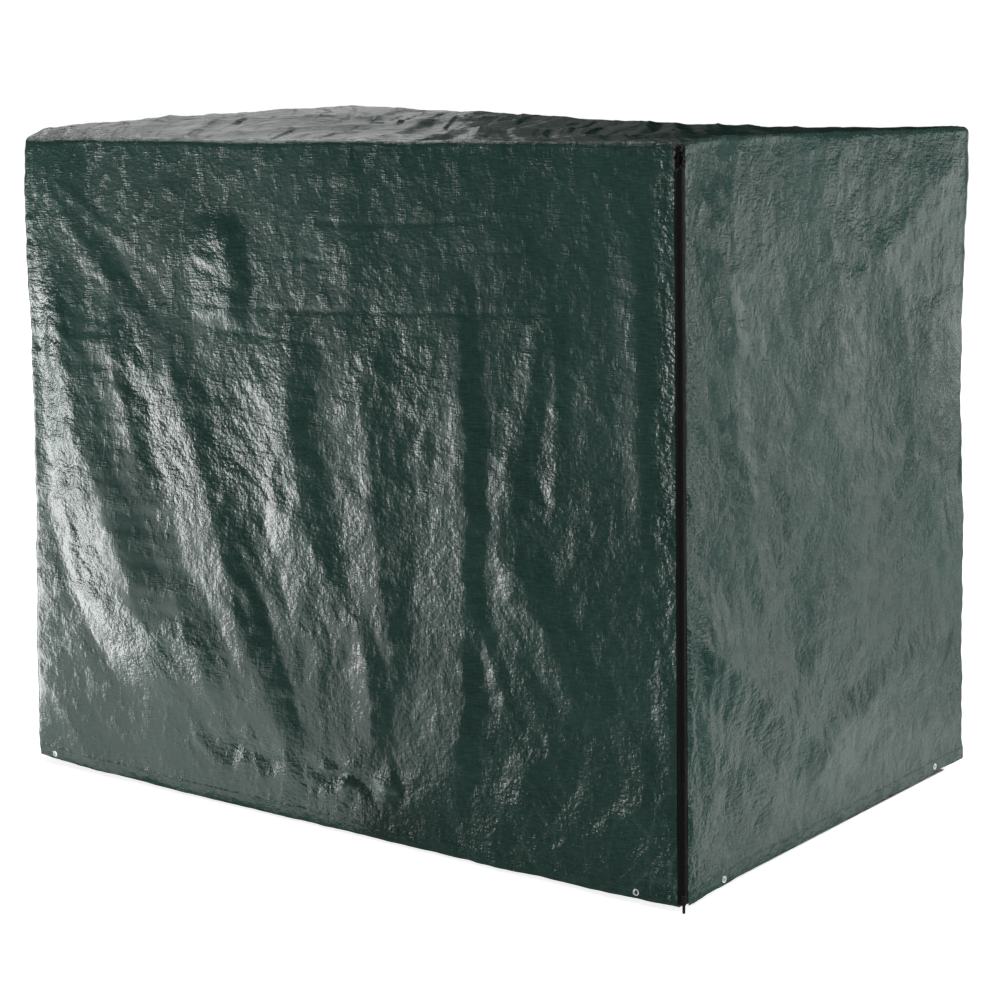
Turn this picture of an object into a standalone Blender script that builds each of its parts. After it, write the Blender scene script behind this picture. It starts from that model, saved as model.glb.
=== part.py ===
"""Fitted outdoor furniture cover of woven polyethylene sheet, hollow and open below.

Frame: metres, +Z up, origin under the middle of the cover at its lowest point. The long front
panel faces -Y, and the zip runs down the corner between the front (-Y) and the right (+X).

Every piece is cut from one form: a box with rounded edges, slightly wider at the hem, whose
walls carry soft folds and whose top sheet rises at the back left and sags on the right.
A place on that form is named by the sharp box it was rounded from, and by a depth below the skin.
"""
import math
from collections import namedtuple

import bmesh
import bpy
from mathutils import Matrix, Vector

# Driving sizes
TOP_LENGTH = 1.982
TOP_WIDTH = 1.271
WALL_HEIGHT = 1.626
HEM_FLARE = 0.024
HEM_LIFT = 0.0135
EDGE_RADIUS = 0.016
BACK_LEFT_RISE = 0.056
BACK_EDGE_DIP = 0.010
LEFT_EDGE_PUFF = 0.020
RIGHT_EDGE_PUFF = 0.012
TOP_CROWN = 0.022
TOP_SAG = 0.050
FRONT_HEM_DROP = 0.0085
FRONT_LEFT_HEM_RISE = 0.007
BACK_RIGHT_HEM_RISE = 0.018

# Cloth and the gaps between pieces
SHEET_THICKNESS = 0.002
HEM_HEIGHT = 0.034
HEM_PROUD = 0.0005
HEM_DEPTH = 0.0025
PIECE_GAP = 0.0003
MITRE_INSET = 0.00045

# Zip
CHAIN_HALF_WIDTH = 0.0058
CHAIN_PROUD = 0.0008
CHAIN_DEPTH = 0.0016
TAPE_SUNK = 0.0005
TAPE_DEPTH = 0.0016
ZIP_FOOT = 0.004
SLIDER_SIZE = Vector((0.011, 0.0032, 0.021))
SLIDER_HEIGHT = 0.0145
BRIDGE_SIZE = Vector((0.0030, 0.0026, 0.0040))
PULL_SIZE = Vector((0.0066, 0.0016, 0.036))
PULL_SLOT = Vector((0.0037, 0.0060, 0.0047))
PULL_HEAD = 0.005

# Eyelets
EYELET_BORE = 0.0050
EYELET_BARREL = 0.0062
EYELET_FLANGE = 0.0080
EYELET_HOLE = 0.0065
EYELET_HEIGHT = 0.0135
FLANGE_THICKNESS = 0.0009
EYELET_SEGMENTS = 12

# Mesh steps
STEPS_LONG = 30
STEPS_WIDE = 18
STEPS_HIGH = 15
EDGE_STEP = 0.45

HALF_LENGTH = TOP_LENGTH / 2
HALF_WIDTH = TOP_WIDTH / 2

# A wall's own left-to-right direction as seen from outside, and its outward direction
Wall = namedtuple("Wall", "along out half distance")
WALLS = {
    "front": Wall(Vector((1, 0, 0)), Vector((0, -1, 0)), HALF_LENGTH, HALF_WIDTH),
    "right": Wall(Vector((0, 1, 0)), Vector((1, 0, 0)), HALF_WIDTH, HALF_LENGTH),
    "back": Wall(Vector((-1, 0, 0)), Vector((0, 1, 0)), HALF_LENGTH, HALF_WIDTH),
    "left": Wall(Vector((0, -1, 0)), Vector((-1, 0, 0)), HALF_WIDTH, HALF_LENGTH),
}

# Soft folds. One that runs down goes from height start to height end, and its at_ values are
# places along the wall. One that runs across goes along the wall, and its at_ values are heights.
# The widths are its flanks on the lower and the higher side of its crest.
Fold = namedtuple("Fold", "wall runs start end at_start at_middle at_end low_width high_width height")
FOLDS = [
    Fold("front", "down", 1.36, 0.24, -0.890, -0.800, -0.480, 0.110, 0.150, 0.025),
    Fold("front", "down", 1.30, 0.16, -0.985, -0.945, -0.640, 0.050, 0.060, -0.011),
    Fold("front", "down", 1.40, 0.66, -0.720, -0.655, -0.540, 0.070, 0.070, 0.011),
    Fold("front", "down", 1.30, 0.02, -0.540, -0.330, -0.070, 0.150, 0.090, 0.027),
    Fold("front", "down", 1.24, 0.50, -0.080, -0.075, 0.030, 0.120, 0.060, 0.021),
    Fold("front", "down", 1.26, 0.30, 0.125, 0.160, 0.215, 0.085, 0.070, 0.017),
    Fold("front", "down", 1.36, 0.02, 0.400, 0.430, 0.370, 0.120, 0.055, 0.025),
    Fold("front", "down", 1.34, 0.76, 0.670, 0.600, 0.540, 0.060, 0.050, 0.008),
    Fold("front", "down", 0.84, 0.28, 0.535, 0.560, 0.690, 0.050, 0.120, 0.014),
    Fold("front", "down", 1.46, 1.16, -0.300, -0.280, -0.280, 0.120, 0.050, 0.013),
    Fold("front", "down", 1.60, 1.08, -0.940, -0.760, -0.420, 0.060, 0.060, 0.010),
    Fold("front", "down", 1.56, 0.70, 0.860, 0.885, 0.900, 0.050, 0.050, 0.008),
    Fold("right", "across", -0.70, 0.14, 0.730, 0.450, 0.120, 0.060, 0.110, 0.016),
    Fold("right", "across", -0.24, 0.66, 0.100, 0.300, 0.320, 0.110, 0.080, 0.011),
    Fold("right", "across", 0.06, 0.66, 1.240, 1.420, 1.620, 0.090, 0.090, 0.013),
    Fold("right", "down", 1.16, 0.52, -0.480, -0.380, -0.280, 0.060, 0.060, 0.010),
    Fold("right", "down", 1.30, 0.40, 0.420, 0.470, 0.540, 0.080, 0.060, 0.013),
    Fold("back", "down", 1.44, 0.10, -0.620, -0.560, -0.420, 0.130, 0.090, 0.020),
    Fold("back", "down", 1.30, 0.20, -0.060, 0.020, 0.060, 0.120, 0.100, 0.021),
    Fold("back", "down", 1.50, 0.30, 0.560, 0.500, 0.400, 0.110, 0.110, 0.017),
    Fold("left", "down", 1.40, 0.16, -0.260, -0.180, -0.120, 0.100, 0.090, 0.017),
    Fold("left", "down", 1.34, 0.30, 0.300, 0.240, 0.180, 0.110, 0.080, 0.014),
]

# Soft creases of the top sheet, drawn across its width from front to back
Crease = namedtuple("Crease", "x_front x_middle x_back width height")
CREASES = [
    Crease(-0.780, -0.620, -0.420, 0.070, 0.007),
    Crease(-0.430, -0.330, -0.250, 0.060, 0.008),
    Crease(-0.060, 0.060, 0.120, 0.080, 0.007),
    Crease(0.360, 0.330, 0.420, 0.080, 0.009),
    Crease(0.700, 0.640, 0.610, 0.080, 0.008),
]

# Where a standing corner leans out (+) or in (-), by its place, height and reach up and down
Lean = namedtuple("Lean", "x_side y_side height reach shift")
LEANS = [
    Lean(-1, -1, 1.400, 0.230, 0.011),
    Lean(-1, -1, 0.100, 0.550, 0.010),
    Lean(1, 1, 1.620, 0.250, 0.016),
    Lean(1, 1, 1.000, 0.900, 0.006),
    Lean(1, 1, 0.950, 0.210, -0.006),
    Lean(-1, 1, 0.800, 0.300, -0.006),
]
LEAN_SPREAD = 0.260

# Eyelets: wall, and place along it
Eyelet = namedtuple("Eyelet", "name wall place")
EYELETS = [
    Eyelet("eyelet_front_left", "front", -0.925),
    Eyelet("eyelet_front_right", "front", 0.870),
    Eyelet("eyelet_right_front", "right", -0.480),
    Eyelet("eyelet_right_back", "right", 0.480),
    Eyelet("eyelet_back_left", "back", -0.900),
    Eyelet("eyelet_back_right", "back", 0.900),
    Eyelet("eyelet_left_back", "left", -0.480),
    Eyelet("eyelet_left_front", "left", 0.480),
]


def clear_scene():
    for item in list(bpy.data.objects):
        bpy.data.objects.remove(item, do_unlink=True)


def clamp(value, low, high):
    return max(low, min(high, value))


def smooth(value):
    t = clamp(value, 0.0, 1.0)
    return t * t * (3 - 2 * t)


def bell(offset, width):
    return math.exp(-(offset / width) ** 2)


def through_three(t, first, middle, last):
    """The parabola that takes three values at 0, 1/2 and 1."""
    return first * (1 - t) * (1 - 2 * t) + middle * 4 * t * (1 - t) + last * t * (2 * t - 1)


def fold_height(fold, place, height):
    along, side = (height, place) if fold.runs == "down" else (place, height)
    t = (along - fold.start) / (fold.end - fold.start)
    if t <= 0 or t >= 1:
        return 0.0
    offset = side - through_three(t, fold.at_start, fold.at_middle, fold.at_end)
    width = fold.low_width if offset < 0 else fold.high_width
    return fold.height * smooth(min(t, 1 - t) / 0.25) * bell(offset, width)


def wall_bulge(wall_name, place, height):
    """How far the folds carry a wall outwards; nothing at its edges and at the eyelets."""
    wall = WALLS[wall_name]
    fade = smooth((wall.half - abs(place) - 0.020) / 0.080)
    fade *= smooth((WALL_HEIGHT - height - 0.018) / 0.120)
    fade *= smooth((height - HEM_HEIGHT - 0.010) / 0.120)
    return fade * sum(fold_height(f, place, height) for f in FOLDS if f.wall == wall_name)


def shares(x, y):
    """A place as its share of the way from left to right and from front to back."""
    return clamp(x / TOP_LENGTH + 0.5, 0, 1), clamp(y / TOP_WIDTH + 0.5, 0, 1)


def edge_rise(x, y):
    """The top edge stands highest at its back left corner, and puffs up along both ends."""
    u, v = shares(x, y)
    rise = BACK_LEFT_RISE * (1 - u) * (1 - 0.6 * u) * v * (1.6 - 0.6 * v)
    rise -= BACK_EDGE_DIP * bell(u - 0.68, 0.25) * v * v
    rise += LEFT_EDGE_PUFF * smooth(1 - u / 0.35) * smooth(v / 0.06) * (1 - v) ** 2
    rise += RIGHT_EDGE_PUFF * smooth(u / 0.25 - 3) * smooth(v / 0.15) * (1 - v)
    return rise


def top_swell(x, y):
    """The loose top sheet crowns on the left, sags on the right, and is lightly creased."""
    u, v = shares(x, y)
    window = (16 * u * (1 - u) * v * (1 - v)) ** 0.75
    creases = sum(
        c.height * bell(x - through_three(v, c.x_front, c.x_middle, c.x_back), c.width) for c in CREASES
    )
    return window * (TOP_CROWN * (1 - u) - TOP_SAG * u + creases)


def corner_lean(x, y, height):
    """Sideways shift near a standing corner."""
    shift = Vector((0, 0, 0))
    for lean in LEANS:
        away = abs(x - lean.x_side * HALF_LENGTH) + abs(y - lean.y_side * HALF_WIDTH)
        amount = lean.shift * bell(away, LEAN_SPREAD) * bell(height - lean.height, lean.reach)
        shift += Vector((lean.x_side, lean.y_side, 0)) * amount * math.sqrt(0.5)
    return shift


def hem_rise(x, y):
    """The hem hangs lower along the front and the back, and is hitched up at two corners."""
    u, v = shares(x, y)
    rise = -FRONT_HEM_DROP * (1 - (2 * u - 1) ** 4)
    rise += FRONT_LEFT_HEM_RISE * (1 - u) ** 8 * (1 - v) ** 4
    rise += BACK_RIGHT_HEM_RISE * smooth(2 * u - 1) * v ** 0.7
    return rise


def cover_point(sharp, depth, bulge=0.0, out=Vector((0, 0, 0))):
    """A point of the cover, from its place on the sharp box and its depth below the skin."""
    core = Vector((
        clamp(sharp.x, EDGE_RADIUS - HALF_LENGTH, HALF_LENGTH - EDGE_RADIUS),
        clamp(sharp.y, EDGE_RADIUS - HALF_WIDTH, HALF_WIDTH - EDGE_RADIUS),
        min(sharp.z, WALL_HEIGHT - EDGE_RADIUS),
    ))
    point = core + (sharp - core).normalized() * (EDGE_RADIUS - depth)
    rise = clamp(point.z / WALL_HEIGHT, 0, 1)
    moved = Vector((
        point.x * (1 + HEM_FLARE / HALF_LENGTH * (1 - rise)),
        point.y * (1 + HEM_FLARE / HALF_WIDTH * (1 - rise)),
        point.z + HEM_LIFT + edge_rise(point.x, point.y) * rise,
    ))
    moved.z += hem_rise(point.x, point.y) * (1 - rise) ** 2
    return moved + corner_lean(point.x, point.y, point.z) + out * bulge


def wall_point(wall_name, place, height, depth):
    wall = WALLS[wall_name]
    sharp = wall.along * place + wall.out * wall.distance + Vector((0, 0, height))
    return cover_point(sharp, depth, wall_bulge(wall_name, place, height), wall.out)


def top_point(x, y, depth):
    point = cover_point(Vector((x, y, WALL_HEIGHT)), depth)
    point.z += top_swell(x, y)
    return point


def steps(first, last, count):
    return [first + (last - first) * i / count for i in range(count + 1)]


def edge_to_edge(half, count, right_end=None):
    """Stations along one side, close together over the rounded edges."""
    inner = steps(EDGE_RADIUS - half, half - EDGE_RADIUS, count)
    left = [MITRE_INSET - half, EDGE_STEP * EDGE_RADIUS - half]
    if right_end is not None:
        return left + inner[:-1] + [right_end]
    return left + inner + [half - EDGE_STEP * EDGE_RADIUS, half - MITRE_INSET]


def up_the_wall(first, count=STEPS_HIGH):
    rounded = WALL_HEIGHT - EDGE_RADIUS
    over_edge = [WALL_HEIGHT - EDGE_STEP * EDGE_RADIUS, WALL_HEIGHT - MITRE_INSET]
    return steps(first, rounded, count) + over_edge


def material(name, color, roughness, metallic=0.0):
    made = bpy.data.materials.new(name)
    made.use_nodes = True
    shader = made.node_tree.nodes["Principled BSDF"]
    shader.inputs["Base Color"].default_value = (*color, 1)
    shader.inputs["Roughness"].default_value = roughness
    shader.inputs["Metallic"].default_value = metallic
    return made


def finish_object(name, mesh, look):
    item = bpy.data.objects.new(name, mesh)
    bpy.context.scene.collection.objects.link(item)
    mesh.materials.append(look)
    mesh.shade_smooth()
    mesh.set_sharp_from_angle(angle=math.radians(40))
    return item


def sheet(name, columns, rows, outer, inner, look):
    """A closed sheet from its outer and inner point functions of (column, row)."""
    built = bmesh.new()
    skin = [[built.verts.new(outer(c, r)) for r in rows] for c in columns]
    lining = [[built.verts.new(inner(c, r)) for r in rows] for c in columns]
    last_c = len(columns) - 1
    last_r = len(rows) - 1
    for i in range(last_c):
        for j in range(last_r):
            a, b, c, d = skin[i][j], skin[i + 1][j], skin[i + 1][j + 1], skin[i][j + 1]
            built.faces.new((a, b, c))
            built.faces.new((a, c, d))
            a, b, c, d = lining[i][j], lining[i + 1][j], lining[i + 1][j + 1], lining[i][j + 1]
            built.faces.new((a, c, b))
            built.faces.new((a, d, c))
    border = [(i, 0) for i in range(last_c)] + [(last_c, j) for j in range(last_r)]
    border += [(last_c - i, last_r) for i in range(last_c)] + [(0, last_r - j) for j in range(last_r)]
    for (i, j), (k, m) in zip(border, border[1:] + border[:1]):
        built.faces.new((skin[i][j], lining[i][j], lining[k][m]))
        built.faces.new((skin[i][j], lining[k][m], skin[k][m]))
    mesh = bpy.data.meshes.new(name)
    built.to_mesh(mesh)
    built.free()
    return finish_object(name, mesh, look)


def make_top(look):
    sheet(
        "top_panel",
        edge_to_edge(HALF_LENGTH, STEPS_LONG),
        edge_to_edge(HALF_WIDTH, STEPS_WIDE),
        lambda x, y: top_point(x, y, 0),
        lambda x, y: top_point(x, y, SHEET_THICKNESS),
        look,
    )


def wall_columns(wall_name):
    """The front and the right wall end at the zip, which takes the rounded corner."""
    wall = WALLS[wall_name]
    count = STEPS_LONG if wall.half == HALF_LENGTH else STEPS_WIDE
    zip_edge = wall.half - EDGE_RADIUS - PIECE_GAP
    if wall_name == "front":
        return edge_to_edge(wall.half, count, right_end=zip_edge)
    if wall_name == "right":
        return [-place for place in reversed(edge_to_edge(wall.half, count, right_end=zip_edge))]
    return edge_to_edge(wall.half, count)


def wall_sheet(name, wall_name, columns, rows, top_depth, bottom_depth, look):
    return sheet(
        name,
        columns,
        rows,
        lambda place, height: wall_point(wall_name, place, height, top_depth),
        lambda place, height: wall_point(wall_name, place, height, bottom_depth),
        look,
    )


def make_walls(look):
    for wall_name in WALLS:
        rows = up_the_wall(HEM_HEIGHT + PIECE_GAP)
        wall_sheet(wall_name + "_panel", wall_name, wall_columns(wall_name), rows, 0, SHEET_THICKNESS, look)


def eyelet_seat(eyelet):
    """Matrix whose local Z points out of the cloth, at the middle of the hem's thickness."""
    middle = (HEM_DEPTH - HEM_PROUD) / 2
    reach = 0.008
    center = wall_point(eyelet.wall, eyelet.place, EYELET_HEIGHT, middle)
    right = wall_point(eyelet.wall, eyelet.place + reach, EYELET_HEIGHT, middle) - center
    up = wall_point(eyelet.wall, eyelet.place, EYELET_HEIGHT + reach, middle) - center
    out = right.cross(up).normalized()
    side = right.normalized()
    turn = Matrix((side, out.cross(side), out)).transposed().to_4x4()
    return Matrix.Translation(center) @ turn


def hole_cutter(eyelet):
    built = bmesh.new()
    bmesh.ops.create_cone(
        built, cap_ends=True, segments=EYELET_SEGMENTS, radius1=EYELET_HOLE, radius2=EYELET_HOLE, depth=0.02
    )
    mesh = bpy.data.meshes.new("hole_" + eyelet.name)
    built.to_mesh(mesh)
    built.free()
    cutter = bpy.data.objects.new("hole_" + eyelet.name, mesh)
    bpy.context.scene.collection.objects.link(cutter)
    cutter.matrix_world = eyelet_seat(eyelet)
    cutter.hide_render = True
    cutter.display_type = "WIRE"
    return cutter


def make_hems(look):
    for wall_name in WALLS:
        rows = [0.0, HEM_HEIGHT]
        strip = wall_sheet("hem_" + wall_name, wall_name, wall_columns(wall_name), rows, -HEM_PROUD, HEM_DEPTH, look)
        for eyelet in EYELETS:
            if eyelet.wall == wall_name:
                cut = strip.modifiers.new("eyelet hole", "BOOLEAN")
                cut.operation = "DIFFERENCE"
                cut.object = hole_cutter(eyelet)


def eyelet_mesh(look):
    """A pressed ring: a barrel through the hem with a rolled flange on each face."""
    seat = (HEM_DEPTH + HEM_PROUD) / 2 + PIECE_GAP
    lip = seat + FLANGE_THICKNESS
    roll = 0.0006
    half_profile = [(EYELET_BORE, lip - roll), (EYELET_BORE + roll, lip), (EYELET_FLANGE - roll, lip),
                    (EYELET_FLANGE, seat), (EYELET_BARREL, seat)]
    profile = half_profile + [(radius, -height) for radius, height in reversed(half_profile)]
    built = bmesh.new()
    rings = []
    for i in range(EYELET_SEGMENTS):
        angle = 2 * math.pi * i / EYELET_SEGMENTS
        rings.append([built.verts.new((r * math.cos(angle), r * math.sin(angle), z)) for r, z in profile])
    for this, following in zip(rings, rings[1:] + rings[:1]):
        for j in range(len(profile)):
            k = (j + 1) % len(profile)
            built.faces.new((this[j], this[k], following[k], following[j]))
    bmesh.ops.recalc_face_normals(built, faces=built.faces)
    mesh = bpy.data.meshes.new("eyelet")
    built.to_mesh(mesh)
    built.free()
    mesh.materials.append(look)
    mesh.shade_smooth()
    mesh.set_sharp_from_angle(angle=math.radians(35))
    return mesh


def make_eyelets(look):
    ring = eyelet_mesh(look)
    for eyelet in EYELETS:
        item = bpy.data.objects.new(eyelet.name, ring)
        bpy.context.scene.collection.objects.link(item)
        item.matrix_world = eyelet_seat(eyelet)


def corner_point(turn, height, depth):
    """A point at the zip's corner: turn is below 0 on the front wall and above 0 on the right."""
    if turn < 0:
        return wall_point("front", HALF_LENGTH + turn, height, depth)
    return wall_point("right", turn - HALF_WIDTH, height, depth)


def make_zip_band(name, turns, rows, top_depth, bottom_depth, look):
    sheet(
        name,
        turns,
        rows,
        lambda turn, height: corner_point(turn, height, top_depth),
        lambda turn, height: corner_point(turn, height, bottom_depth),
        look,
    )


def make_zip(tape_look, metal_look):
    rows = up_the_wall(ZIP_FOOT, 6)
    edge = CHAIN_HALF_WIDTH + PIECE_GAP
    tape = steps(edge, EDGE_RADIUS, 2)
    make_zip_band("zip_tape_front", [-t for t in reversed(tape)], rows, TAPE_SUNK, TAPE_DEPTH, tape_look)
    make_zip_band("zip_tape_right", tape, rows, TAPE_SUNK, TAPE_DEPTH, tape_look)
    chain = steps(-CHAIN_HALF_WIDTH, CHAIN_HALF_WIDTH, 4)
    make_zip_band("zip_chain", chain, rows, -CHAIN_PROUD, CHAIN_DEPTH, tape_look)
    make_slider(metal_look)


def corner_seat(height):
    """Matrix on the chain's face, whose local Y points out of the corner."""
    foot = corner_point(0, height, -CHAIN_PROUD)
    up = (corner_point(0, height + 0.05, -CHAIN_PROUD) - foot).normalized()
    side = Vector((1, 1, 0)).normalized()
    out = up.cross(side).normalized() * -1
    turn = Matrix((side, out, up)).transposed().to_4x4()
    return Matrix.Translation(foot) @ turn


def block(name, size, center, seat, look, bevel=0.0):
    built = bmesh.new()
    bmesh.ops.create_cube(built, size=1.0)
    bmesh.ops.scale(built, vec=size, verts=built.verts)
    bmesh.ops.translate(built, vec=center, verts=built.verts)
    if bevel:
        bmesh.ops.bevel(built, geom=list(built.edges), offset=bevel, segments=1, affect="EDGES")
    bmesh.ops.transform(built, matrix=seat, verts=built.verts)
    bmesh.ops.recalc_face_normals(built, faces=built.faces)
    mesh = bpy.data.meshes.new(name)
    built.to_mesh(mesh)
    built.free()
    return finish_object(name, mesh, look)


def make_slider(look):
    seat = corner_seat(SLIDER_HEIGHT)
    face = PIECE_GAP + SLIDER_SIZE.y
    body = block("zip_slider", SLIDER_SIZE, Vector((0, PIECE_GAP + SLIDER_SIZE.y / 2, 0)), seat, look, 0.0009)
    bridge_out = face + BRIDGE_SIZE.y / 2 - 0.0004
    bridge = block("slider_bridge", BRIDGE_SIZE, Vector((0, bridge_out, 0.003)), seat, look)
    weld = body.modifiers.new("bridge", "BOOLEAN")
    weld.operation = "UNION"
    weld.object = bridge
    pull_out = face + PIECE_GAP + PULL_SIZE.y / 2
    drop = 0.003 + PULL_HEAD - PULL_SIZE.z / 2
    pull = block("zip_pull", PULL_SIZE, Vector((0, pull_out, drop)), seat, look, 0.0005)
    slot = block("pull_slot", PULL_SLOT, Vector((0, pull_out, 0.003)), seat, look)
    cut = pull.modifiers.new("slot", "BOOLEAN")
    cut.operation = "DIFFERENCE"
    cut.object = slot
    for helper in (bridge, slot):
        helper.hide_render = True
        helper.display_type = "WIRE"


def main():
    clear_scene()
    cloth = material("green woven sheet", (0.020, 0.062, 0.048), 0.32)
    tape = material("black zip", (0.010, 0.010, 0.011), 0.55)
    aluminium = material("aluminium", (0.78, 0.79, 0.80), 0.35, 1.0)
    slider = material("dark metal", (0.060, 0.060, 0.065), 0.40, 1.0)
    make_top(cloth)
    make_walls(cloth)
    make_hems(cloth)
    make_eyelets(aluminium)
    make_zip(tape, slider)


main()
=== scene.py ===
"""Looks of the fitted outdoor furniture cover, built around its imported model.

Lengths are metres and places are in the model's own frame: the front faces -Y, the right end
faces +X, and the zip runs down the corner between them. Every sheet is a fine grid over the same
rounded, flared box as its solid, with the folds, facets and crinkles of stiff coated cloth.
"""
import math
from collections import namedtuple

import bmesh
import bpy
import numpy as np
from mathutils import Matrix, Vector


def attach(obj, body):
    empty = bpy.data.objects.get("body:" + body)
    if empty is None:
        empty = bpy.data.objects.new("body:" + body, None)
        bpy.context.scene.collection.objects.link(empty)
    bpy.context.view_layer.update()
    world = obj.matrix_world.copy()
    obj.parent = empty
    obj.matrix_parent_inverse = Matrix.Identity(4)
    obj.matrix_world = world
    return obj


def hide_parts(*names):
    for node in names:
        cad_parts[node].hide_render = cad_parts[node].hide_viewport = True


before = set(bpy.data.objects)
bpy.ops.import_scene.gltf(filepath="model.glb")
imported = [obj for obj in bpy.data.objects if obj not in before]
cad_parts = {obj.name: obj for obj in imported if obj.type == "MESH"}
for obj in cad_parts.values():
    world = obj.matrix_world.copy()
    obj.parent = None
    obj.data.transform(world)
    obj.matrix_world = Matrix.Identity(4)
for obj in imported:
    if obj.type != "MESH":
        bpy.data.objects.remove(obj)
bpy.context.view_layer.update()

# The model's own sizes
TOP_LENGTH = 1.982
TOP_WIDTH = 1.271
WALL_HEIGHT = 1.626
HEM_FLARE = 0.024
HEM_LIFT = 0.0135
EDGE_RADIUS = 0.016
BACK_LEFT_RISE = 0.056
BACK_EDGE_DIP = 0.010
LEFT_EDGE_PUFF = 0.020
RIGHT_EDGE_PUFF = 0.012
TOP_CROWN = 0.022
TOP_SAG = 0.050
FRONT_HEM_DROP = 0.0085
FRONT_LEFT_HEM_RISE = 0.007
BACK_RIGHT_HEM_RISE = 0.018
HEM_HEIGHT = 0.034
HEM_PROUD = 0.0005
HEM_DEPTH = 0.0025
CHAIN_HALF_WIDTH = 0.0058
CHAIN_PROUD = 0.0008
TAPE_SUNK = 0.0005
ZIP_FOOT = 0.004
TAPE_WIDTH = 0.0205
EYELET_BORE = 0.0050
EYELET_FLANGE = 0.0080
EYELET_HEIGHT = 0.0135

HALF_LENGTH = TOP_LENGTH / 2
HALF_WIDTH = TOP_WIDTH / 2

# The photograph's camera: focal length in widths of the frame, place, and angles in degrees
CAMERA_FOCAL = 2.358
CAMERA_PLACE = Vector((3.646, -4.716, 1.7755))
CAMERA_YAW = -37.50
CAMERA_PITCH = 10.20
CAMERA_ROLL = -0.81

Wall = namedtuple("Wall", "along out half distance")
WALLS = {
    "front": Wall(np.array((1, 0, 0)), np.array((0, -1, 0)), HALF_LENGTH, HALF_WIDTH),
    "right": Wall(np.array((0, 1, 0)), np.array((1, 0, 0)), HALF_WIDTH, HALF_LENGTH),
    "back": Wall(np.array((-1, 0, 0)), np.array((0, 1, 0)), HALF_LENGTH, HALF_WIDTH),
    "left": Wall(np.array((0, -1, 0)), np.array((-1, 0, 0)), HALF_WIDTH, HALF_LENGTH),
}

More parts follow.
